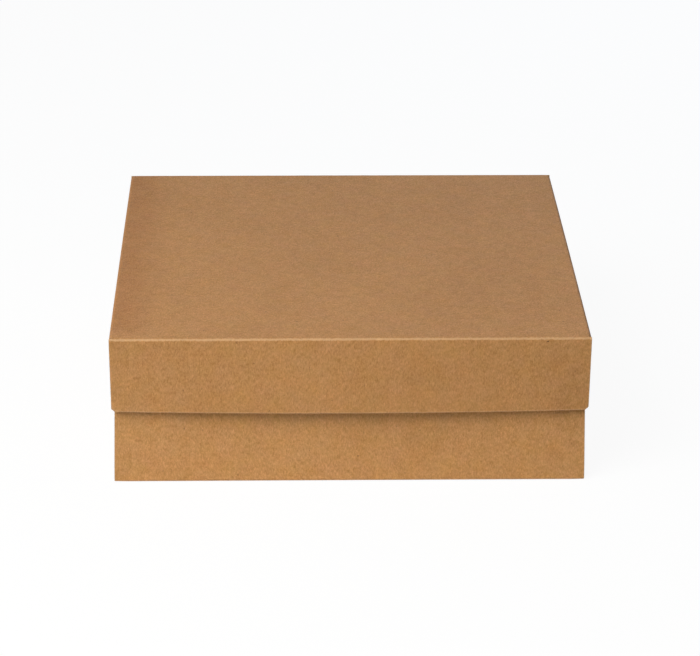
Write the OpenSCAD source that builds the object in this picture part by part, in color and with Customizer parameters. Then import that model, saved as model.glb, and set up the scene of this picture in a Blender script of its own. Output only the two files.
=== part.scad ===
// Two-piece board box: a shallow lid that slips over the upper half of a base.
// Each piece is one die-cut sheet. Its four walls fold on rounded creases. The front
// and back walls run the full width, and the ends of the side walls turn the corner
// as tabs glued behind them.
// The origin is under the middle of the base. The front faces -Y, and Z is up.

/* [Lid] */
// Width of the lid's top, left to right
lid_w = 240; // [150:1:360]
// Depth of the lid's top, front to back
lid_d = 240; // [150:1:360]
// Height of the lid's skirt
skirt_h = 39.5; // [20:0.5:55]
// Inward lean of the skirt at the corners, in degrees
skirt_lean = 0.5; // [0:0.1:1]
// Outward bow of the skirt's front and back edges at their middle
skirt_front_bow = 3.1; // [0:0.1:4]
// Outward bow of the skirt's side edges at their middle
skirt_side_bow = 2.4; // [0:0.1:4]

/* [Base] */
// Height of the closed box
box_h = 79.4; // [65:0.1:140]
// Inward lean of the base's walls, in degrees
wall_lean = 1.5; // [0:0.1:4]

/* [Board] */
// Thickness of the board
board_t = 1.1; // [0.6:0.1:2]
// Radius on the inside of a crease
crease_in_r = 0.3; // [0.1:0.1:1.5]
// Size of the cut across each end of a front or back wall's free edge
corner_cut = 1.7; // [0.5:0.1:5]

/* [Glue tabs] */
// Length of a tab along the wall that it is glued to
tab_len = 20; // [8:1:30]
// Taper of a tab's two sloping edges, in degrees
tab_taper = 8; // [0:1:15]
// Step of a tab's edges from the panel and from the free edge
tab_inset = 1; // [0.5:0.1:3]
// Thickness of the glue film
glue_t = 0.1; // [0.05:0.05:0.3]

/* [Fit] */
// Gap between the skirt's lower edge and the base, at the corners
fit_gap = 0.4; // [0.3:0.1:2]
// Gap between the lid's underside and the base's free edge
seat_gap = 0; // [0:0.1:1]

/* [Smoothness] */
// Steps round a crease
crease_steps = 5; // [3:1:8]
// Steps along a wall that bows
bow_steps = 12; // [6:2:20]

/* [Hidden] */

board_color = "#b5824f";

// Radius on the outside of a crease
crease_r = board_t + crease_in_r;
// Steps up a wall's height, and along a tab's length
rise_steps = 2;
reach_steps = 3;

// Height of the base, whose free edge carries the lid's top panel
base_h = box_h - board_t - seat_gap;
// Height of the skirt's lower edge above the ground
skirt_edge_z = box_h - skirt_h;
// Half sizes of the opening at the skirt's lower edge. A side wall has one layer of
// board at the corner, and a front or back wall has its tab behind it as well.
mouth_half_w = lid_w / 2 - skirt_h * tan(skirt_lean) - board_t;
mouth_half_d = lid_d / 2 - skirt_h * tan(skirt_lean) - 2 * board_t - glue_t;
// Size of the base at the ground, from its size where it enters the lid
base_w = 2 * (mouth_half_w - fit_gap + skirt_edge_z * tan(wall_lean));
base_d = 2 * (mouth_half_d - fit_gap + skirt_edge_z * tan(wall_lean));

// Distance from a sharp corner to the start of a crease whose wall leans in
function crease_run(lean) = crease_r * tan((90 + lean) / 2);

// Lean of a wall at station u (-1 to 1), where its free edge bows outward
function bowed_lean(lean, bow, h, u) = atan(tan(lean) - bow * (1 - u * u) / h);

// Point of a wall's section: [distance inward from the sharp corner, height].
// Steps run round the crease first, then evenly up to the free edge at rim.
// depth is 0 on the outer face and board_t on the inner face.
function wall_section(step, steps_up, depth, lean, rim) =
    step <= crease_steps
    ? let (turn = (90 + lean) * step / crease_steps)
        [crease_run(lean) - (crease_r - depth) * sin(turn),
         crease_r - (crease_r - depth) * cos(turn)]
    : let (start = crease_r * (1 + sin(lean)),
           z = start + (rim - start) * (step - crease_steps) / steps_up)
        [z * tan(lean) + depth / cos(lean), z];

// A tray folded from one sheet, with its panel on the ground. The sheet is a grid:
// columns run left to right through side wall, panel and side wall, rows run front
// to back through front wall, panel and back wall, and the grid's corners hold the
// glue tabs, cut free from the front and back walls.
module folded_tray(w, d, h, lean, front_bow, side_bow, steps) {
    side_cols = crease_steps + rise_steps;
    side_rows = crease_steps + reach_steps;
    // One more column at each end of the front wall, where its corner cut starts
    mid_cols = steps + 2;
    mid_rows = steps;
    cols = mid_cols + 2 * side_cols;
    rows = mid_rows + 2 * side_rows;
    panel_half_w = w / 2 - crease_run(lean);
    panel_half_d = d / 2 - crease_run(lean);
    wall_start = crease_r * (1 + sin(lean));

    // Steps past the panel's edge: 0 on the panel, negative to the left or front
    function col_step(i) = i < side_cols ? i - side_cols : max(0, i - side_cols - mid_cols);
    function row_step(j) = j < side_rows ? j - side_rows : max(0, j - side_rows - mid_rows);

    // Station of a column along the width and of a row along the depth, -1 to 1
    cut_u = 1 - corner_cut / (w / 2);
    function col_u(i) =
        let (m = min(max(i - side_cols, 0), mid_cols))
        m == 0 ? -1 : m == mid_cols ? 1 : cut_u * (2 * (m - 1) / steps - 1);
    function row_v(j) = 2 * min(max(j - side_rows, 0), mid_rows) / mid_rows - 1;

    // Half width and half depth of the outer faces at height z. The depth is taken
    // at distance c from the corner, because the front wall bows.
    function half_w(z) = w / 2 - z * tan(lean);
    function half_d(z, c) = d / 2 - z * tan(bowed_lean(lean, front_bow, h, 1 - c / half_w(z)));
    // Where a side wall ends and the round fold to its tab begins
    function fold_start(z) = half_d(z, crease_r) - board_t - glue_t - crease_r;

    function panel_point(u, v, depth) = [u * panel_half_w, v * panel_half_d, depth];

    // A point of the front wall, or of the back wall where step is positive
    function front_wall_point(u, step, depth) =
        let (rim = h - max(0, corner_cut - (1 - abs(u)) * w / 2),
             s = wall_section(abs(step), reach_steps, depth, bowed_lean(lean, front_bow, h, u), rim))
        [u * half_w(s[1]), sign(step) * (d / 2 - s[0]), s[1]];

    // A point of the left wall, or of the right wall where step is positive
    function side_wall_point(v, step, depth) =
        let (s = wall_section(abs(step), rise_steps, depth, bowed_lean(lean, side_bow, h, v), h))
        [sign(step) * (w / 2 - s[0]), v * fold_start(s[1]), s[1]];

    // A tab's point: round the vertical fold first, then along behind the front wall
    function tab_point(rise, reach, depth) =
        let (n = abs(reach),
             c = crease_r + tab_len * max(0, n - crease_steps) / reach_steps,
             inset = tab_inset * min(n, crease_steps) / crease_steps + (c - crease_r) * tan(tab_taper),
             k = (abs(rise) - crease_steps) / rise_steps,
             z = wall_start + inset + (h - wall_start - 2 * inset) * k,
             turn = 90 * min(n, crease_steps) / crease_steps)
        n <= crease_steps
        ? [sign(rise) * (half_w(z) - crease_r + (crease_r - depth) * cos(turn)),
           sign(reach) * (fold_start(z) + (crease_r - depth) * sin(turn)), z]
        : [sign(rise) * (half_w(z) - c),
           sign(reach) * (half_d(z, c) - board_t - glue_t - depth), z];

    function sheet_point(i, j, depth) =
        let (a = col_step(i), b = row_step(j))
        a == 0 && b == 0 ? panel_point(col_u(i), row_v(j), depth)
        : a == 0 ? front_wall_point(col_u(i), b, depth)
        : b == 0 ? side_wall_point(row_v(j), a, depth)
        : tab_point(a, b, depth);

    // A cell holds board unless it is off the grid or in the corner beside a crease
    function in_panel(k, side, mid) = k >= side && k < side + mid;
    function in_wall(i) = i < rise_steps || i >= cols - rise_steps;
    function has_board(i, j) =
        i >= 0 && i < cols && j >= 0 && j < rows
        && (in_panel(i, side_cols, mid_cols) || in_panel(j, side_rows, mid_rows) || in_wall(i));

    function at(i, j, inner) = 2 * (i * (rows + 1) + j) + inner;
    function two(p, q, r, s) = [[p, q, r], [p, r, s]];
    // The cut edge of a cell between two of its corners, where no board follows
    function cut_edge(i, j, p, q) =
        has_board(i, j) ? [] : two(p, p + 1, q + 1, q);

    points = [for (i = [0:cols], j = [0:rows], depth = [0, board_t]) sheet_point(i, j, depth)];
    faces = [
        for (i = [0:cols - 1], j = [0:rows - 1])
            if (has_board(i, j))
                let (p = at(i, j, 0), q = at(i + 1, j, 0), r = at(i + 1, j + 1, 0), s = at(i, j + 1, 0))
                each concat(
                    two(p, q, r, s),
                    [[r + 1, q + 1, p + 1], [s + 1, r + 1, p + 1]],
                    cut_edge(i, j - 1, p, q),
                    cut_edge(i + 1, j, q, r),
                    cut_edge(i, j + 1, r, s),
                    cut_edge(i - 1, j, s, p)
                )
    ];
    polyhedron(points, faces);
}

module lid() {
    color(board_color)
    translate([0, 0, box_h])
    rotate([180, 0, 0])
    folded_tray(lid_w, lid_d, skirt_h, skirt_lean, skirt_front_bow, skirt_side_bow, bow_steps);
}

module base() {
    color(board_color)
    folded_tray(base_w, base_d, base_h, wall_lean, 0, 0, 1);
}

lid();
base();
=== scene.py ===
import math

import bpy
import numpy as np
from mathutils import Matrix, Vector, noise


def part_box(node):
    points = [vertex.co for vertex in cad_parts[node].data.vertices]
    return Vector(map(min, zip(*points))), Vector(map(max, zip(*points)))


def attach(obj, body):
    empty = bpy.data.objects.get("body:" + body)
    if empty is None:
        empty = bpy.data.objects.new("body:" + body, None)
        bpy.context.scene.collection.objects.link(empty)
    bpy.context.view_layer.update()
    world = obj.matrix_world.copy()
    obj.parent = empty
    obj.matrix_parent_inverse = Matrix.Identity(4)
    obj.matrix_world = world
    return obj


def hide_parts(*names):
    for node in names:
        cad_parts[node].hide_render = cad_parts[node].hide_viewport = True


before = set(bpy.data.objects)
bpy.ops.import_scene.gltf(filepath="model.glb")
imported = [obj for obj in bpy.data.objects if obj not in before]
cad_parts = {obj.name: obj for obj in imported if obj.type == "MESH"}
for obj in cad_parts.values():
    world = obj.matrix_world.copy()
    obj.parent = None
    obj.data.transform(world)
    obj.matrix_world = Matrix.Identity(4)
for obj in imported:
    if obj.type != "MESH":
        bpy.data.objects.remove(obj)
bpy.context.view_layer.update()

scene = bpy.context.scene
mm = 0.001

# The board that both pieces are folded from
boardSet = {
    "thickness": 1.1 * mm,
    "creaseInside": 0.3 * mm,      # radius on the inside of a crease
    "glueFilm": 0.1 * mm,
    "cornerCut": 1.7 * mm,         # cut across each end of a front or back wall's free edge
    "edgeRounding": 0.14 * mm,     # how far a die-cut edge is rounded over
    "tabLength": 20 * mm,
    "tabTaper": math.radians(8),
    "tabInset": 1 * mm,
    "cornerOpening": 0.2,          # share of a crease over which a wall's end widens
}

# Cells of the sheet's grid, across the panel, round a crease and up a wall
gridSet = {"panel": 80, "crease": 10, "wall": 12, "nearCrease": 0.4 * mm}

lidSet = {
    "lean": math.radians(0.5),     # inward lean of the skirt at its corners
    "frontBow": 3.1 * mm,          # how far the middle of the front and back edges stands out
    "sideBow": 2.4 * mm,
    "dish": 0.25 * mm,             # how far the middle of the top panel sags
    "waviness": 0.12 * mm,
    "creaseWander": 0.14 * mm,
    "cornerCrush": 0.05 * mm,
    "seed": 3.1,
}

baseSet = {
    "lean": math.radians(1.5),     # inward lean of the walls
    "frontBow": 0,
    "sideBow": 0,
    "dish": 0,
    "waviness": 0.12 * mm,
    "creaseWander": 0.05 * mm,
    "cornerCrush": 0.15 * mm,
    "seed": 17.4,
}

# How the sheets settle: sizes of the unevenness, and the share of a wall that its tabs leave free
settleSet = {
    "waveSize": 45 * mm,
    "waveUpright": 0.9,            # how much a wave changes from a wall's crease to its free edge
    "wanderSize": 5 * mm,
    "crushSize": 2.6 * mm,
    "tabZone": 0.8,
    "tabFade": 4,                  # power of the fade toward the tabs
}
sharpAngle = math.radians(35)

thickness = boardSet["thickness"]
creaseRadius = thickness + boardSet["creaseInside"]
farAway = 1.0                      # stands for no fold or edge nearby


# Distance from a sharp corner to the start of its crease
def creaseRun(lean):
    return creaseRadius * math.tan((math.pi / 2 + lean) / 2)


def creaseArc(lean):
    return creaseRadius * (math.pi / 2 + lean)


# Height at which a crease ends and its wall begins
def wallStart(lean):
    return creaseRadius * (1 + math.sin(lean))


# Lean of a wall at station u (-1 to 1), where its free edge bows outward
def bowedLean(tray, bow, u):
    return math.atan(math.tan(tray["lean"]) - bow * (1 - u * u) / tray["height"])


# Size of the sharp-cornered panel, from the tray's greatest span
def panelSize(tray, span, bow):
    slope = math.tan(tray["lean"])
    return span - 2 * max(bow - tray["height"] * slope, -wallStart(tray["lean"]) * slope)


# Share of a wall's height at each of its steps, with one step close to the crease
def wallShare(step, rise):
    if step <= 0:
        return 0
    first = gridSet["nearCrease"] / rise
    return first + (1 - first) * (step - 1) / (gridSet["wall"] - 1)


# Point of a wall's section: distance inward from the sharp corner, height, length along the sheet
def wallSection(step, depth, lean, rim):
    steps = gridSet["crease"]
    if step <= steps:
        turn = (math.pi / 2 + lean) * step / steps
        inward = creaseRun(lean) - (creaseRadius - depth) * math.sin(turn)
        return inward, creaseRadius - (creaseRadius - depth) * math.cos(turn), creaseRadius * turn
    start = wallStart(lean)
    z = start + (rim - start) * wallShare(step - steps, rim - start)
    return z * math.tan(lean) + depth / math.cos(lean), z, creaseArc(lean) + z - start


# Stations across a panel, -1 to 1, with a cell beside each crease and one at each corner cut
def panelStations(half, withCut):
    ends = [1 - gridSet["nearCrease"] / half]
    if withCut:
        ends.append(1 - boardSet["cornerCut"] / half)
    inner = np.linspace(-ends[-1], ends[-1], gridSet["panel"] + 1)
    return np.array([-1] + [-e for e in ends[:-1]] + list(inner) + ends[:-1][::-1] + [1])


# The folded sheet as a grid of cells: side wall, panel, side wall by front wall, panel, back wall
class SheetGrid:
    def __init__(self, tray):
        self.tray = tray
        self.side = gridSet["crease"] + gridSet["wall"]
        self.u = panelStations(tray["width"] / 2, True)
        self.v = panelStations(tray["depth"] / 2, False)
        self.midCols = len(self.u) - 1
        self.midRows = len(self.v) - 1
        self.cols = self.midCols + 2 * self.side
        self.rows = self.midRows + 2 * self.side

    # Steps past the panel's edge, negative to the left or front
    def past(self, k, mid):
        return k - self.side if k < self.side else max(0, k - self.side - mid)

    def station(self, k, mid, stations):
        return stations[min(max(k - self.side, 0), mid)]

    def holdsBoard(self, i, j):
        if not (0 <= i < self.cols and 0 <= j < self.rows):
            return False
        wall = gridSet["wall"]
        inWall = i < wall or i >= self.cols - wall
        inCols = self.side <= i < self.side + self.midCols
        inRows = self.side <= j < self.side + self.midRows
        return inCols or inRows or inWall

    def halfWidth(self, z):
        return self.tray["width"] / 2 - z * math.tan(self.tray["lean"])

    # Half depth of the front wall's outer face at height z, at a distance from the corner
    def halfDepth(self, z, fromCorner):
        u = 1 - fromCorner / self.halfWidth(z)
        return self.tray["depth"] / 2 - z * math.tan(bowedLean(self.tray, self.tray["frontBow"], u))

    # Where a side wall ends and the round fold to its tab begins
    def foldStart(self, z):
        return self.halfDepth(z, creaseRadius) - thickness - boardSet["glueFilm"] - creaseRadius

    # A wall's end widens over the first part of its crease
    def opened(self, step, atPanel, beyond):
        share = min(1, abs(step) / (gridSet["crease"] * boardSet["cornerOpening"]))
        return atPanel + (beyond - atPanel) * share

    def wave(self, along, share, across):
        upright = share * settleSet["waveUpright"]
        n = noise.noise(Vector((along / settleSet["waveSize"], upright, self.tray["seed"] + across)))
        return self.tray["waviness"] * (0.5 + 0.5 * n) * 4 * share * (1 - share)

    def wander(self, along, step, across):
        if abs(step) >= gridSet["crease"]:
            return 0
        n = noise.noise(Vector((along / settleSet["wanderSize"], self.tray["seed"] * 2, across)))
        bulge = math.sin(math.pi * abs(step) / gridSet["crease"])
        return self.tray["creaseWander"] * (0.5 + 0.5 * n) * bulge

    # How much of a wall's wave is left at a station, none of it over the tabs
    def free(self, station):
        return max(0, 1 - (abs(station) / settleSet["tabZone"]) ** settleSet["tabFade"])

    # Corners of the panel are pushed in a little where the folds meet
    def crush(self, p):
        corner = Vector((math.copysign(self.tray["width"] / 2, p.x),
                         math.copysign(self.tray["depth"] / 2, p.y), 0))
        near = math.exp(-((p - corner).length / settleSet["crushSize"]) ** 2)
        push = Vector((-math.copysign(1, p.x), -math.copysign(1, p.y), 1)).normalized()
        return p + push * self.tray["cornerCrush"] * near

    def panelPoint(self, u, v, depth):
        lean = self.tray["lean"]
        halfW = self.tray["width"] / 2 - creaseRun(lean)
        halfD = self.tray["depth"] / 2 - creaseRun(lean)
        sag = self.tray["dish"] * (1 - u * u) * (1 - v * v)
        toMiddle = creaseArc(lean) / 2
        folds = ((1 - abs(u)) * halfW + toMiddle, (1 - abs(v)) * halfD + toMiddle, farAway)
        return Vector((u * halfW, v * halfD, depth + sag)), (u * halfW, v * halfD), folds

    # A point of the front wall, or of the back wall where step is positive
    def frontPoint(self, u, step, depth):
        tray = self.tray
        lean = bowedLean(tray, tray["frontBow"], u)
        fromEnd = (1 - abs(u)) * tray["width"] / 2
        rim = tray["height"] - max(0, boardSet["cornerCut"] - fromEnd)
        inward, z, length = wallSection(abs(step), depth, lean, rim)
        share = max(0, (z - wallStart(lean)) / (tray["height"] - wallStart(lean)))
        side = math.copysign(1, step)
        halfW = self.opened(step, tray["width"] / 2 - creaseRun(tray["lean"]), self.halfWidth(z))
        inward += self.wave(u * halfW, share, side) * self.free(u)
        slip = self.wander(u * halfW, step, side)
        p = Vector((u * halfW, side * (tray["depth"] / 2 - inward - slip), z + slip))
        panelHalf = tray["depth"] / 2 - creaseRun(tray["lean"])
        full = creaseArc(lean) + rim - wallStart(lean)
        toEdge = min(full - length, (1 - abs(u)) * halfW)
        folds = (farAway, abs(length - creaseArc(lean) / 2), toEdge)
        return p, (u * halfW, side * (panelHalf + length)), folds

    # A point of the left wall, or of the right wall where step is positive
    def sidePoint(self, v, step, depth):
        tray = self.tray
        lean = bowedLean(tray, tray["sideBow"], v)
        inward, z, length = wallSection(abs(step), depth, lean, tray["height"])
        share = max(0, (z - wallStart(lean)) / (tray["height"] - wallStart(lean)))
        side = math.copysign(1, step)
        halfD = self.opened(step, tray["depth"] / 2 - creaseRun(tray["lean"]), self.foldStart(z))
        inward += self.wave(v * halfD, share, 3 + side) * self.free(v)
        slip = self.wander(v * halfD, step, 3 + side)
        p = Vector((side * (tray["width"] / 2 - inward - slip), v * halfD, z + slip))
        panelHalf = tray["width"] / 2 - creaseRun(tray["lean"])
        toFold = (1 - abs(v)) * halfD + creaseArc(0) / 2
        full = creaseArc(lean) + tray["height"] - wallStart(lean)
        folds = (min(abs(length - creaseArc(lean) / 2), farAway), toFold, full - length)
        return p, (side * (panelHalf + length), v * halfD), folds

    # A tab's point: round the vertical fold first, then along behind the front wall
    def tabPoint(self, rise, reach, depth):
        tray = self.tray
        steps = gridSet["crease"]
        n = abs(reach)
        along = boardSet["tabLength"] * wallShare(n - steps, boardSet["tabLength"])
        fromCorner = creaseRadius + along
        inset = boardSet["tabInset"] * min(n, steps) / steps + along * math.tan(boardSet["tabTaper"])
        start = wallStart(tray["lean"])
        share = wallShare(abs(rise) - steps, tray["height"] - start)
        z = start + inset + (tray["height"] - start - 2 * inset) * share
        turn = math.pi / 2 * min(n, steps) / steps
        acrossSide = math.copysign(1, rise)
        alongSide = math.copysign(1, reach)
        if n <= steps:
            inside = creaseRadius - depth
            p = Vector((acrossSide * (self.halfWidth(z) - creaseRadius + inside * math.cos(turn)),
                        alongSide * (self.foldStart(z) + inside * math.sin(turn)), z))
        else:
            behind = self.halfDepth(z, fromCorner) - thickness - boardSet["glueFilm"] - depth
            p = Vector((acrossSide * (self.halfWidth(z) - fromCorner), alongSide * behind, z))
        length = creaseRadius * turn + along
        rim = tray["height"] - z
        toEdge = min(rim, z - start, creaseArc(0) + boardSet["tabLength"] - length)
        folds = (creaseArc(tray["lean"]) / 2 + z - start, abs(length - creaseArc(0) / 2), toEdge)
        panelHalf = tray["width"] / 2 - creaseRun(tray["lean"])
        place = (acrossSide * (panelHalf + creaseArc(tray["lean"]) + z - start),
                 alongSide * (self.foldStart(z) + length))
        return p, place, folds

    def at(self, i, j, depth):
        a = self.past(i, self.midCols)
        b = self.past(j, self.midRows)
        u = self.station(i, self.midCols, self.u)
        v = self.station(j, self.midRows, self.v)
        if a == 0 and b == 0:
            p, place, folds = self.panelPoint(u, v, depth)
        elif a == 0:
            p, place, folds = self.frontPoint(u, b, depth)
        elif b == 0:
            p, place, folds = self.sidePoint(v, a, depth)
        else:
            p, place, folds = self.tabPoint(a, b, depth)
        return self.crush(p), (*place, depth), folds

    # Grid neighbours of a corner, with how many of the two cells beside each edge hold board
    def neighbours(self, i, j):
        found = []
        for di, dj in ((1, 0), (-1, 0), (0, 1), (0, -1)):
            ci = [i, i] if di > 0 else [i - 1, i - 1] if di < 0 else [i - 1, i]
            cj = [j, j] if dj > 0 else [j - 1, j - 1] if dj < 0 else [j - 1, j]
            count = sum(self.holdsBoard(a, b) for a, b in zip(ci, cj))
            if count:
                found.append((i + di, j + dj, count))
        return found


# Builds one folded sheet with both faces and rounded cut edges. The lid's sheet is turned over.
def foldedSheet(name, tray, turnedOver):
    grid = SheetGrid(tray)
    rounding = boardSet["edgeRounding"]
    depths = (0, rounding, thickness - rounding, thickness)
    index, points, places, folds = {}, [], [], []

    def keep(key, found):
        index[key] = len(points)
        points.append(found[0])
        places.append(found[1])
        folds.append(found[2])

    for i in range(grid.cols + 1):
        for j in range(grid.rows + 1):
            near = grid.neighbours(i, j)
            if not near:
                continue
            onEdge = any(count == 1 for _, _, count in near)
            layers = (0, 1, 2, 3) if onEdge else (0, 3)
            inner = [n for n in near if n[2] == 2] or near
            for layer in layers:
                p, place, fold = grid.at(i, j, depths[layer])
                if onEdge and layer in (0, 3):
                    for ni, nj, _ in inner:
                        p = p + (grid.at(ni, nj, depths[layer])[0] - p).normalized() * rounding
                keep((i, j, layer), (p, place, fold))

    faces, cutFaces = [], []
    for i in range(grid.cols):
        for j in range(grid.rows):
            if not grid.holdsBoard(i, j):
                continue
            ring = [(i, j), (i, j + 1), (i + 1, j + 1), (i + 1, j)]
            faces.append([index[(*c, 0)] for c in ring])
            faces.append([index[(*c, 3)] for c in ring[::-1]])
            beyond = [(i - 1, j), (i, j + 1), (i + 1, j), (i, j - 1)]
            for k, cell in enumerate(beyond):
                if grid.holdsBoard(*cell):
                    continue
                a, b = ring[k], ring[(k + 1) % 4]
                for layer in range(3):
                    cutFaces.append([index[(*b, layer)], index[(*a, layer)],
                                     index[(*a, layer + 1)], index[(*b, layer + 1)]])

    if turnedOver:
        points = [Vector((p.x, -p.y, tray["top"] - p.z)) for p in points]
        places = [(s, -t, d) for s, t, d in places]
    mesh = bpy.data.meshes.new(name)
    mesh.from_pydata(points, [], faces + cutFaces)
    mesh.update()
    for label, values in (("sheetPlace", places), ("foldDistance", folds)):
        layer = mesh.attributes.new(label, "FLOAT_VECTOR", "POINT")
        layer.data.foreach_set("vector", np.array(values, dtype=np.float32).ravel())
    slots = np.zeros(len(mesh.polygons), dtype=np.int32)
    slots[len(faces):] = 1
    mesh.polygons.foreach_set("material_index", slots)
    mesh.shade_smooth()
    mesh.set_sharp_from_angle(angle=sharpAngle)
    piece = bpy.data.objects.new(name, mesh)
    scene.collection.objects.link(piece)
    print(name, "has", len(mesh.polygons), "faces")
    return piece


def measureTray(tray, node):
    low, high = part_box(node)
    tray["height"] = high.z - low.z
    tray["top"] = high.z
    tray["width"] = panelSize(tray, high.x - low.x, tray["sideBow"])
    tray["depth"] = panelSize(tray, high.y - low.y, tray["frontBow"])


measureTray(lidSet, "lid")
measureTray(baseSet, "base")
lidSheet = foldedSheet("lid_sheet", lidSet, True)
baseSheet = foldedSheet("base_sheet", baseSet, False)
print("sheets folded")


# Materials

kraftSet = {
    "lid": {"dark": (0.362, 0.163, 0.0455), "pale": (0.588, 0.292, 0.1053)},
    "base": {"dark": (0.394, 0.179, 0.050), "pale": (0.642, 0.327, 0.1215)},
    "edge": {"dark": (0.270, 0.135, 0.056), "pale": (0.540, 0.330, 0.175)},
    # Pale colour of the creases: partly crease wear, partly a painted highlight
    "crease": (0.700, 0.440, 0.240),
    "speck": (0.110, 0.048, 0.020),
    "roughness": 0.78,
    "bump": 0.6,
    "relief": 0.25 * mm,
    "specular": 0.3,
    "sheen": 0.06,
    "sheenRoughness": 0.5,
}

grainSet = {"size": 0.72 * mm, "stretch": 2.2, "crisp": 1.8, "broad": 0.9, "gain": 1.0}
fibreSet = {"width": 0.11 * mm, "length": 1.6 * mm, "gain": 0.24}
cloudSet = {"size": 9 * mm, "gain": 0.38, "redder": 0.15, "bluer": 0.42}
speckSet = {"spacing": 8 * mm, "size": 0.42 * mm, "share": 0.4, "stretch": 1.5}
# Distances at which a pale band fades out and is full; along the creases the band is wear with a painted
# highlight
wearAndHighlightSet = {
    "crease": (0.9 * mm, 0.25 * mm),
    "rim": (0.75 * mm, 0.2 * mm),
    "breaks": 1.3 * mm,
    "uneven": 1.7 * mm,
}
# A darker band of the top, beside its left crease: limits across and along the sheet, and its tint
bandSet = {
    "across": (-117 * mm, -92 * mm),
    "fades": (-150 * mm, -124 * mm),
    "along": (-119 * mm, -100 * mm),
    "patch": 24 * mm,
    "tint": (0.85, 0.77, 0.68),
}
# Single dark shives: place on the flat sheet in millimetres, size and strength
lidMarks = [
    ((98.0, -121.2), 0.55 * mm, 1.0),
    ((-48.1, -132.2), 0.5 * mm, 0.45),
    ((-35.2, -138.6), 0.4 * mm, 0.4),
    ((-9.3, -152.0), 0.4 * mm, 0.4),
    ((-26.7, -97.8), 0.7 * mm, 0.5),
]
baseMarks = [
    ((23.6, -147.6), 0.4 * mm, 0.6),
    ((35.2, -145.3), 0.45 * mm, 0.5),
    ((4.1, -131.3), 0.45 * mm, 0.9),
]


# Adds a node, sets its properties and fills or links its sockets by name
def addNode(tree, kind, properties=(), **sockets):
    made = tree.nodes.new(kind)
    for name, value in dict(properties).items():
        setattr(made, name, value)
    for name, value in sockets.items():
        fill(tree, made.inputs[name.replace("_", " ")], value)
    return made


def fill(tree, socket, value):
    if isinstance(value, bpy.types.NodeSocket):
        tree.links.new(value, socket)
    elif hasattr(socket.default_value, "__len__") and len(socket.default_value) == 4 and len(value) == 3:
        socket.default_value = (*value, 1)
    else:
        socket.default_value = value


def calculate(tree, operation, a, b=0.0, c=0.0, clamp=False):
    made = tree.nodes.new("ShaderNodeMath")
    made.operation = operation
    made.use_clamp = clamp
    for socket, value in zip(made.inputs, (a, b, c)):
        fill(tree, socket, value)
    return made.outputs[0]


def remap(tree, value, low, high, toLow=0.0, toHigh=1.0):
    made = addNode(tree, "ShaderNodeMapRange", {"interpolation_type": "SMOOTHSTEP"}, Value=value)
    made.inputs["From Min"].default_value = low
    made.inputs["From Max"].default_value = high
    made.inputs["To Min"].default_value = toLow
    made.inputs["To Max"].default_value = toHigh
    return made.outputs["Result"]


def mixColors(tree, factor, a, b, blend="MIX"):
    made = tree.nodes.new("ShaderNodeMix")
    made.data_type = "RGBA"
    made.blend_type = blend
    fill(tree, made.inputs["Factor"], factor)
    fill(tree, made.inputs[6], a)
    fill(tree, made.inputs[7], b)
    return made.outputs[2]


def stretched(tree, vector, sizes, turn=0.0, shift=(0, 0, 0)):
    turned = addNode(tree, "ShaderNodeVectorRotate", {"rotation_type": "Z_AXIS"}, Vector=vector, Angle=turn)
    made = addNode(tree, "ShaderNodeMapping", {"vector_type": "POINT"}, Vector=turned.outputs[0])
    fill(tree, made.inputs["Scale"], tuple(1 / s for s in sizes))
    fill(tree, made.inputs["Location"], shift)
    return made.outputs[0]


def noiseValue(tree, vector, detail, roughness=0.5, distortion=0.0):
    made = addNode(tree, "ShaderNodeTexNoise", Vector=vector, Scale=1.0, Detail=detail,
                   Roughness=roughness, Distortion=distortion)
    return made.outputs["Fac"]


# A node group with named inputs and outputs
def newGroup(name, inputs, outputs):
    group = bpy.data.node_groups.new(name, "ShaderNodeTree")
    for label, kind, value in inputs:
        socket = group.interface.new_socket(label, in_out="INPUT", socket_type=kind)
        if value is not None:
            socket.default_value = value
    for label, kind in outputs:
        group.interface.new_socket(label, in_out="OUTPUT", socket_type=kind)
    return group, group.nodes.new("NodeGroupInput").outputs, group.nodes.new("NodeGroupOutput").inputs


def useGroup(tree, group, **sockets):
    made = tree.nodes.new("ShaderNodeGroup")
    made.node_tree = group
    for name, value in sockets.items():
        fill(tree, made.inputs[name.replace("_", " ")], value)
    return made.outputs


# Fine pulp grain, drawn out along the run of the sheet
def makeGrainGroup():
    tree, given, out = newGroup("paperGrain", [("Vector", "NodeSocketVector", None)],
                                [("Value", "NodeSocketFloat")])
    size, stretch = grainSet["size"], grainSet["stretch"]
    crisp = noiseValue(tree, stretched(tree, given["Vector"], (size, size * stretch, size)), 2, 0.6, 0.4)
    broad = noiseValue(tree, stretched(tree, given["Vector"], (size * 1.9, size * 3.4, size * 2), 0.3,
                                       (3.7, 1.3, 0.2)), 2, 0.55, 0.6)
    broad = calculate(tree, "MULTIPLY", calculate(tree, "SUBTRACT", broad, 0.5), grainSet["broad"])
    crisp = calculate(tree, "SUBTRACT", crisp, 0.5)
    both = calculate(tree, "MULTIPLY_ADD", crisp, grainSet["crisp"], broad)
    fill(tree, out["Value"], both)
    return tree


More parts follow.
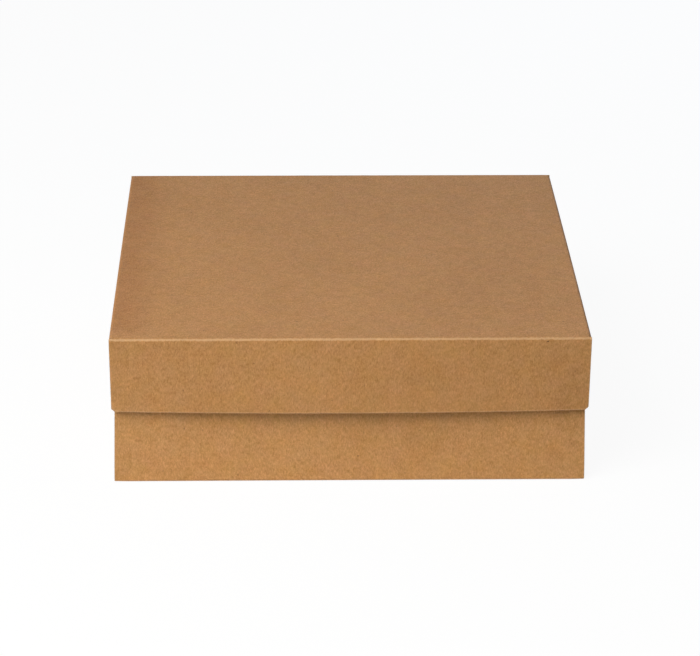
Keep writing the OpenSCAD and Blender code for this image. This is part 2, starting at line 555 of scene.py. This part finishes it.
# Single fibres: thin ridges of drawn-out noise at three angles
def makeFibreGroup():
    tree, given, out = newGroup("paperFibres", [("Vector", "NodeSocketVector", None)],
                                [("Pale", "NodeSocketFloat"), ("Dark", "NodeSocketFloat")])
    width, length = fibreSet["width"], fibreSet["length"]
    ridges = []
    for k, turn in enumerate((0.12, -0.38, 1.05)):
        vector = stretched(tree, given["Vector"], (width * 2, length, length), turn, (2.3 * k, 5.1 * k, k))
        n = noiseValue(tree, vector, 1, 0.4, 0.35)
        ridge = calculate(tree, "ABSOLUTE", calculate(tree, "SUBTRACT", n, 0.5))
        ridges.append(remap(tree, ridge, 0.045, 0.005))
    pale = calculate(tree, "MAXIMUM", ridges[0], ridges[1])
    patch = noiseValue(tree, stretched(tree, given["Vector"], (3 * length,) * 3, 0.0, (7, 2, 1)), 1)
    fill(tree, out["Pale"], calculate(tree, "MULTIPLY", pale, remap(tree, patch, 0.35, 0.65)))
    fill(tree, out["Dark"], calculate(tree, "MULTIPLY", ridges[2], remap(tree, patch, 0.6, 0.4)))
    return tree


# Broad uneven tone of the pulp
def makeCloudGroup():
    tree, given, out = newGroup("paperClouds", [("Vector", "NodeSocketVector", None)],
                                [("Value", "NodeSocketFloat"), ("Tint", "NodeSocketColor")])
    size = cloudSet["size"]
    near = noiseValue(tree, stretched(tree, given["Vector"], (size, size * 1.6, size)), 3, 0.55)
    wide = stretched(tree, given["Vector"], (size * 6, size * 9, size * 6), 0.3, (1, 4, 0))
    broad = noiseValue(tree, wide, 2)
    both = calculate(tree, "ADD", near, broad)
    fill(tree, out["Value"], calculate(tree, "SUBTRACT", both, 1.0))
    hue = addNode(tree, "ShaderNodeTexNoise", Scale=1.0, Detail=3.0, Roughness=0.6,
                  Vector=stretched(tree, given["Vector"], (size * 1.3,) * 3, 0.9, (9, 3, 2)))
    split = addNode(tree, "ShaderNodeSeparateColor", Color=hue.outputs["Color"])
    redder, bluer = cloudSet["redder"], cloudSet["bluer"]
    red = calculate(tree, "MULTIPLY_ADD", split.outputs["Red"], redder, 1 - redder / 2)
    blue = calculate(tree, "MULTIPLY_ADD", split.outputs["Blue"], bluer, 1 - bluer / 2)
    tint = addNode(tree, "ShaderNodeCombineColor", Red=red, Green=1.0, Blue=blue)
    fill(tree, out["Tint"], tint.outputs[0])
    return tree


# Sparse dark shives left in the pulp
def makeSpeckGroup():
    tree, given, out = newGroup("paperSpecks", [("Vector", "NodeSocketVector", None)],
                                [("Mask", "NodeSocketFloat")])
    spacing, stretch = speckSet["spacing"], speckSet["stretch"]
    vector = stretched(tree, given["Vector"], (spacing / stretch, spacing * stretch, spacing))
    cells = addNode(tree, "ShaderNodeTexVoronoi", {"feature": "F1", "voronoi_dimensions": "2D"},
                    Vector=vector, Scale=1.0, Randomness=1.0)
    split = addNode(tree, "ShaderNodeSeparateColor", Color=cells.outputs["Color"])
    reach = speckSet["size"] / spacing
    ragged = noiseValue(tree, stretched(tree, given["Vector"], (speckSet["size"],) * 3), 2, 0.6)
    distance = calculate(tree, "ADD", cells.outputs["Distance"],
                         calculate(tree, "MULTIPLY", calculate(tree, "SUBTRACT", ragged, 0.5), reach * 4))
    size = calculate(tree, "MULTIPLY_ADD", split.outputs["Green"], reach, reach * 0.3)
    inside = calculate(tree, "DIVIDE", calculate(tree, "SUBTRACT", size, distance), reach * 0.6, clamp=True)
    chosen = calculate(tree, "LESS_THAN", split.outputs["Red"], speckSet["share"])
    strength = calculate(tree, "POWER", split.outputs["Blue"], 2.0)
    kept = calculate(tree, "MULTIPLY", chosen, strength)
    fill(tree, out["Mask"], calculate(tree, "MULTIPLY", inside, kept))
    return tree


# One dark shive at a place on the sheet
def makeMarkGroup():
    tree, given, out = newGroup("paperMark", [("Vector", "NodeSocketVector", None),
                                              ("Place", "NodeSocketVector", None),
                                              ("Size", "NodeSocketFloat", 0.0005)],
                                [("Mask", "NodeSocketFloat")])
    apart = addNode(tree, "ShaderNodeVectorMath", {"operation": "SUBTRACT"})
    fill(tree, apart.inputs[0], given["Vector"])
    fill(tree, apart.inputs[1], given["Place"])
    shaped = addNode(tree, "ShaderNodeVectorMath", {"operation": "MULTIPLY"})
    fill(tree, shaped.inputs[0], apart.outputs["Vector"])
    fill(tree, shaped.inputs[1], (0.7, 1.3, 0))
    distance = addNode(tree, "ShaderNodeVectorMath", {"operation": "LENGTH"})
    fill(tree, distance.inputs[0], shaped.outputs["Vector"])
    ragged = noiseValue(tree, stretched(tree, given["Vector"], (0.4 * mm,) * 3, 0.0, (5, 5, 5)), 2, 0.6)
    wandering = calculate(tree, "MULTIPLY_ADD", ragged, 1.6, 0.2)
    share = calculate(tree, "DIVIDE", calculate(tree, "MULTIPLY", distance.outputs["Value"], wandering),
                      given["Size"])
    fill(tree, out["Mask"], remap(tree, share, 1.0, 0.45))
    return tree


# Where the board was creased or cut: masks from the distances kept on the sheet, for crease wear with a
# painted highlight and for paler cut rims
def makeWearAndHighlightGroup():
    tree, given, out = newGroup("foldWearAndHighlight", [("Distances", "NodeSocketVector", None),
                                             ("Vector", "NodeSocketVector", None)],
                                [("Across", "NodeSocketFloat"), ("Along", "NodeSocketFloat"),
                                 ("Rim", "NodeSocketFloat")])
    split = addNode(tree, "ShaderNodeSeparateXYZ", Vector=given["Distances"])
    vector = stretched(tree, given["Vector"], (wearAndHighlightSet["breaks"],) * 3, 0.0, (1, 1, 1))
    breaks = noiseValue(tree, vector, 3, 0.65)
    uneven = calculate(tree, "MULTIPLY", calculate(tree, "SUBTRACT", breaks, 0.5), wearAndHighlightSet["uneven"])
    widest, full = wearAndHighlightSet["crease"]
    for label, distance in (("Along", split.outputs["X"]), ("Across", split.outputs["Y"])):
        fill(tree, out[label], remap(tree, calculate(tree, "ADD", distance, uneven), widest, full))
    widest, full = wearAndHighlightSet["rim"]
    fill(tree, out["Rim"], remap(tree, calculate(tree, "ADD", split.outputs["Z"], uneven), widest, full))
    return tree


# A soft darker band beside one crease
def makeBandGroup():
    tree, given, out = newGroup("edgeBand", [("Vector", "NodeSocketVector", None)],
                                [("Mask", "NodeSocketFloat")])
    split = addNode(tree, "ShaderNodeSeparateXYZ", Vector=given["Vector"])
    band = calculate(tree, "MULTIPLY", remap(tree, split.outputs["X"], *bandSet["across"], 1.0, 0.0),
                     remap(tree, split.outputs["X"], *bandSet["fades"]))
    band = calculate(tree, "MULTIPLY", band, remap(tree, split.outputs["Y"], *bandSet["along"]))
    vector = stretched(tree, given["Vector"], (bandSet["patch"],) * 3, 0.0, (4, 4, 2))
    patch = noiseValue(tree, vector, 2)
    fill(tree, out["Mask"], calculate(tree, "MULTIPLY", band, remap(tree, patch, 0.1, 0.6, 0.5, 1.0)))
    return tree


paperGrain = makeGrainGroup()
paperFibres = makeFibreGroup()
paperClouds = makeCloudGroup()
paperSpecks = makeSpeckGroup()
paperMark = makeMarkGroup()
foldWearAndHighlight = makeWearAndHighlightGroup()
edgeBand = makeBandGroup()


# The whole board surface from the effects above
def makeBoardGroup():
    tree, given, out = newGroup("kraftBoard", [
        ("Vector", "NodeSocketVector", None), ("Distances", "NodeSocketVector", None),
        ("Dark", "NodeSocketColor", None), ("Pale", "NodeSocketColor", None),
        ("Crease Color", "NodeSocketColor", (*kraftSet["crease"], 1)),
        ("Across Amount", "NodeSocketFloat", 0.35), ("Along Amount", "NodeSocketFloat", 0.08),
        ("Rim Amount", "NodeSocketFloat", 0.35), ("Speck Amount", "NodeSocketFloat", 0.8),
        ("Band Amount", "NodeSocketFloat", 0.0), ("Marks", "NodeSocketFloat", 0.0)],
        [("Color", "NodeSocketColor"), ("Roughness", "NodeSocketFloat"), ("Height", "NodeSocketFloat")])
    grain = useGroup(tree, paperGrain, Vector=given["Vector"])["Value"]
    fibres = useGroup(tree, paperFibres, Vector=given["Vector"])
    clouds = useGroup(tree, paperClouds, Vector=given["Vector"])
    specks = useGroup(tree, paperSpecks, Vector=given["Vector"])["Mask"]
    wearAndHighlight = useGroup(tree, foldWearAndHighlight, Distances=given["Distances"], Vector=given["Vector"])
    strands = calculate(tree, "SUBTRACT", fibres["Pale"], fibres["Dark"])
    tone = calculate(tree, "MULTIPLY_ADD", grain, grainSet["gain"], 0.5)
    tone = calculate(tree, "MULTIPLY_ADD", clouds["Value"], cloudSet["gain"], tone)
    tone = calculate(tree, "MULTIPLY_ADD", strands, fibreSet["gain"], tone, clamp=True)
    color = mixColors(tree, tone, given["Dark"], given["Pale"])
    color = mixColors(tree, 1.0, color, clouds["Tint"], "MULTIPLY")
    # Paler creases and rims; on the creases this is wear and a painted highlight
    wornAndHighlit = calculate(tree, "MULTIPLY", wearAndHighlight["Across"], given["Across Amount"])
    for label in ("Along", "Rim"):
        more = calculate(tree, "MULTIPLY", wearAndHighlight[label], given[label + " Amount"])
        wornAndHighlit = calculate(tree, "MAXIMUM", wornAndHighlit, more)
    color = mixColors(tree, wornAndHighlit, color, given["Crease Color"])
    band = useGroup(tree, edgeBand, Vector=given["Vector"])["Mask"]
    color = mixColors(tree, calculate(tree, "MULTIPLY", band, given["Band Amount"]), color,
                      bandSet["tint"], "MULTIPLY")
    specks = calculate(tree, "MULTIPLY", specks, given["Speck Amount"])
    specks = calculate(tree, "MAXIMUM", specks, given["Marks"])
    color = mixColors(tree, specks, color, kraftSet["speck"])
    fill(tree, out["Color"], color)
    fill(tree, out["Roughness"], calculate(tree, "MULTIPLY_ADD", grain, -0.05, kraftSet["roughness"]))
    lift = calculate(tree, "MULTIPLY_ADD", grain, 0.5, calculate(tree, "MULTIPLY", strands, 0.5))
    fill(tree, out["Height"], calculate(tree, "SUBTRACT", lift, specks))
    return tree


kraftBoard = makeBoardGroup()


def boardMaterial(name, tones, amounts, markList=()):
    material = bpy.data.materials.new(name)
    material.use_nodes = True
    tree = material.node_tree
    tree.nodes.clear()
    place = addNode(tree, "ShaderNodeAttribute", {"attribute_name": "sheetPlace"})
    distances = addNode(tree, "ShaderNodeAttribute", {"attribute_name": "foldDistance"})
    marks = 0.0
    for (x, y), size, strength in markList:
        mark = useGroup(tree, paperMark, Vector=place.outputs["Vector"], Place=(x * mm, y * mm, 0),
                        Size=size)
        marks = calculate(tree, "MAXIMUM", marks, calculate(tree, "MULTIPLY", mark["Mask"], strength))
    board = useGroup(tree, kraftBoard, Vector=place.outputs["Vector"],
                     Distances=distances.outputs["Vector"], Dark=tones["dark"], Pale=tones["pale"],
                     Across_Amount=amounts["across"], Along_Amount=amounts["along"],
                     Rim_Amount=amounts["rim"], Speck_Amount=amounts["specks"],
                     Band_Amount=amounts["band"], Marks=marks)
    bump = addNode(tree, "ShaderNodeBump", Height=board["Height"], Strength=kraftSet["bump"],
                   Distance=kraftSet["relief"])
    shader = addNode(tree, "ShaderNodeBsdfPrincipled", Base_Color=board["Color"],
                     Roughness=board["Roughness"], Normal=bump.outputs[0])
    shader.inputs["Specular IOR Level"].default_value = kraftSet["specular"]
    shader.inputs["Sheen Weight"].default_value = kraftSet["sheen"]
    shader.inputs["Sheen Roughness"].default_value = kraftSet["sheenRoughness"]
    output = tree.nodes.new("ShaderNodeOutputMaterial")
    tree.links.new(shader.outputs[0], output.inputs["Surface"])
    return material


# How much of each effect the three surfaces show; on the lid's front and back creases the pale share is
# partly wear, partly a painted highlight
lidAmounts = {"across": 0.55, "along": 0.05, "rim": 0.25, "specks": 0.8, "band": 1.0}
baseAmounts = {"across": 0.3, "along": 0.06, "rim": 0.2, "specks": 0.8, "band": 0.0}
edgeAmounts = {"across": 0.0, "along": 0.0, "rim": 0.0, "specks": 0.3, "band": 0.0}

lidBoard = boardMaterial("lidBoard", kraftSet["lid"], lidAmounts, lidMarks)
baseBoard = boardMaterial("baseBoard", kraftSet["base"], baseAmounts, baseMarks)
cutEdge = boardMaterial("cutEdge", kraftSet["edge"], edgeAmounts)

for piece, body, board in ((lidSheet, "lid", lidBoard), (baseSheet, "base", baseBoard)):
    piece.data.materials.append(board)
    piece.data.materials.append(cutEdge)
    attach(piece, body)
    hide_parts(body)
print("materials made")


# Floor, lights and camera

floorSet = {
    "half": 6.0,
    "plainShare": 0.94,
    "seen": (0.95, 0.95, 0.95),
    "near": (0.9, 0.9, 0.9),       # what it reflects onto the box, close by and far off
    "far": (0.42, 0.42, 0.42),
    "fade": (0.16, 0.5),
}

lightSet = {
    "world": 0.06,
    "key": {"at": (-0.60, -0.76, 1.07), "size": (0.9, 0.9), "watts": 20.8, "color": (1.0, 0.98, 0.92)},
    "low": {"at": (-1.10, -0.90, 0.55), "size": (1.0, 0.7), "watts": 5, "color": (0.6, 0.8, 1.0)},
    "rear": {"at": (0.38, 0.76, 0.42), "size": (0.8, 0.4), "watts": 1.7, "color": (0.35, 0.6, 1.0)},
}

cameraSet = {
    "aim": Vector((2.7, 0, 34.5)) * mm,
    "distance": 1.5286,
    "turn": math.radians(1.503),   # to the right of straight ahead
    "dip": math.radians(22.88),
    "roll": math.radians(0.367),
    "lens": 145.28,
    "sensor": 36,
}


# Share of plain white that the camera and reflections see in the floor and the world
def seenPlainly(tree, share):
    path = tree.nodes.new("ShaderNodeLightPath")
    seen = calculate(tree, "MAXIMUM", path.outputs["Is Camera Ray"], path.outputs["Is Glossy Ray"])
    seen = calculate(tree, "MAXIMUM", seen, path.outputs["Is Transmission Ray"])
    return calculate(tree, "MULTIPLY", seen, share)


def makeFloor():
    half = floorSet["half"]
    mesh = bpy.data.meshes.new("floor")
    corners = [(-half, -half, 0), (half, -half, 0), (half, half, 0), (-half, half, 0)]
    mesh.from_pydata(corners, [], [(0, 1, 2, 3)])
    floor = bpy.data.objects.new("floor", mesh)
    scene.collection.objects.link(floor)
    material = bpy.data.materials.new("paleFloor")
    material.use_nodes = True
    tree = material.node_tree
    tree.nodes.clear()
    place = tree.nodes.new("ShaderNodeTexCoord")
    distance = addNode(tree, "ShaderNodeVectorMath", {"operation": "LENGTH"},
                       Vector=place.outputs["Object"])
    bounce = mixColors(tree, remap(tree, distance.outputs["Value"], *floorSet["fade"]),
                       floorSet["near"], floorSet["far"])
    shown = mixColors(tree, seenPlainly(tree, 1.0), bounce, floorSet["seen"])
    matt = addNode(tree, "ShaderNodeBsdfDiffuse", Color=shown)
    plain = addNode(tree, "ShaderNodeEmission", Strength=1.0)
    mixed = tree.nodes.new("ShaderNodeMixShader")
    fill(tree, mixed.inputs[0], seenPlainly(tree, floorSet["plainShare"]))
    tree.links.new(matt.outputs[0], mixed.inputs[1])
    tree.links.new(plain.outputs[0], mixed.inputs[2])
    output = tree.nodes.new("ShaderNodeOutputMaterial")
    tree.links.new(mixed.outputs[0], output.inputs["Surface"])
    mesh.materials.append(material)


def makeWorld():
    world = bpy.data.worlds.new("studio")
    scene.world = world
    world.use_nodes = True
    tree = world.node_tree
    tree.nodes.clear()
    seen = seenPlainly(tree, 1.0)
    strength = calculate(tree, "MULTIPLY_ADD", seen, 1 - lightSet["world"], lightSet["world"])
    background = addNode(tree, "ShaderNodeBackground", Color=(1, 1, 1), Strength=strength)
    output = tree.nodes.new("ShaderNodeOutputWorld")
    tree.links.new(background.outputs[0], output.inputs["Surface"])


def makeLamp(name):
    lamp = lightSet[name]
    data = bpy.data.lights.new(name, "AREA")
    data.shape = "RECTANGLE"
    data.size, data.size_y = lamp["size"]
    data.energy = lamp["watts"]
    data.color = lamp["color"]
    made = bpy.data.objects.new(name, data)
    made.location = lamp["at"]
    made.rotation_euler = (-Vector(lamp["at"])).to_track_quat("-Z", "Y").to_euler()
    scene.collection.objects.link(made)


def makeCamera():
    turn, dip = cameraSet["turn"], cameraSet["dip"]
    ahead = Vector((math.sin(turn) * math.cos(dip), math.cos(turn) * math.cos(dip), -math.sin(dip)))
    data = bpy.data.cameras.new("camera")
    data.lens = cameraSet["lens"]
    data.sensor_width = cameraSet["sensor"]
    camera = bpy.data.objects.new("camera", data)
    facing = (Matrix.Rotation(-turn, 4, "Z") @ Matrix.Rotation(math.pi / 2 - dip, 4, "X")
              @ Matrix.Rotation(cameraSet["roll"], 4, "Z"))
    camera.matrix_world = Matrix.Translation(cameraSet["aim"] - ahead * cameraSet["distance"]) @ facing
    scene.collection.objects.link(camera)
    scene.camera = camera


makeFloor()
makeWorld()
for lampName in ("key", "low", "rear"):
    makeLamp(lampName)
makeCamera()
scene.view_settings.view_transform = "Standard"
print("stage set")
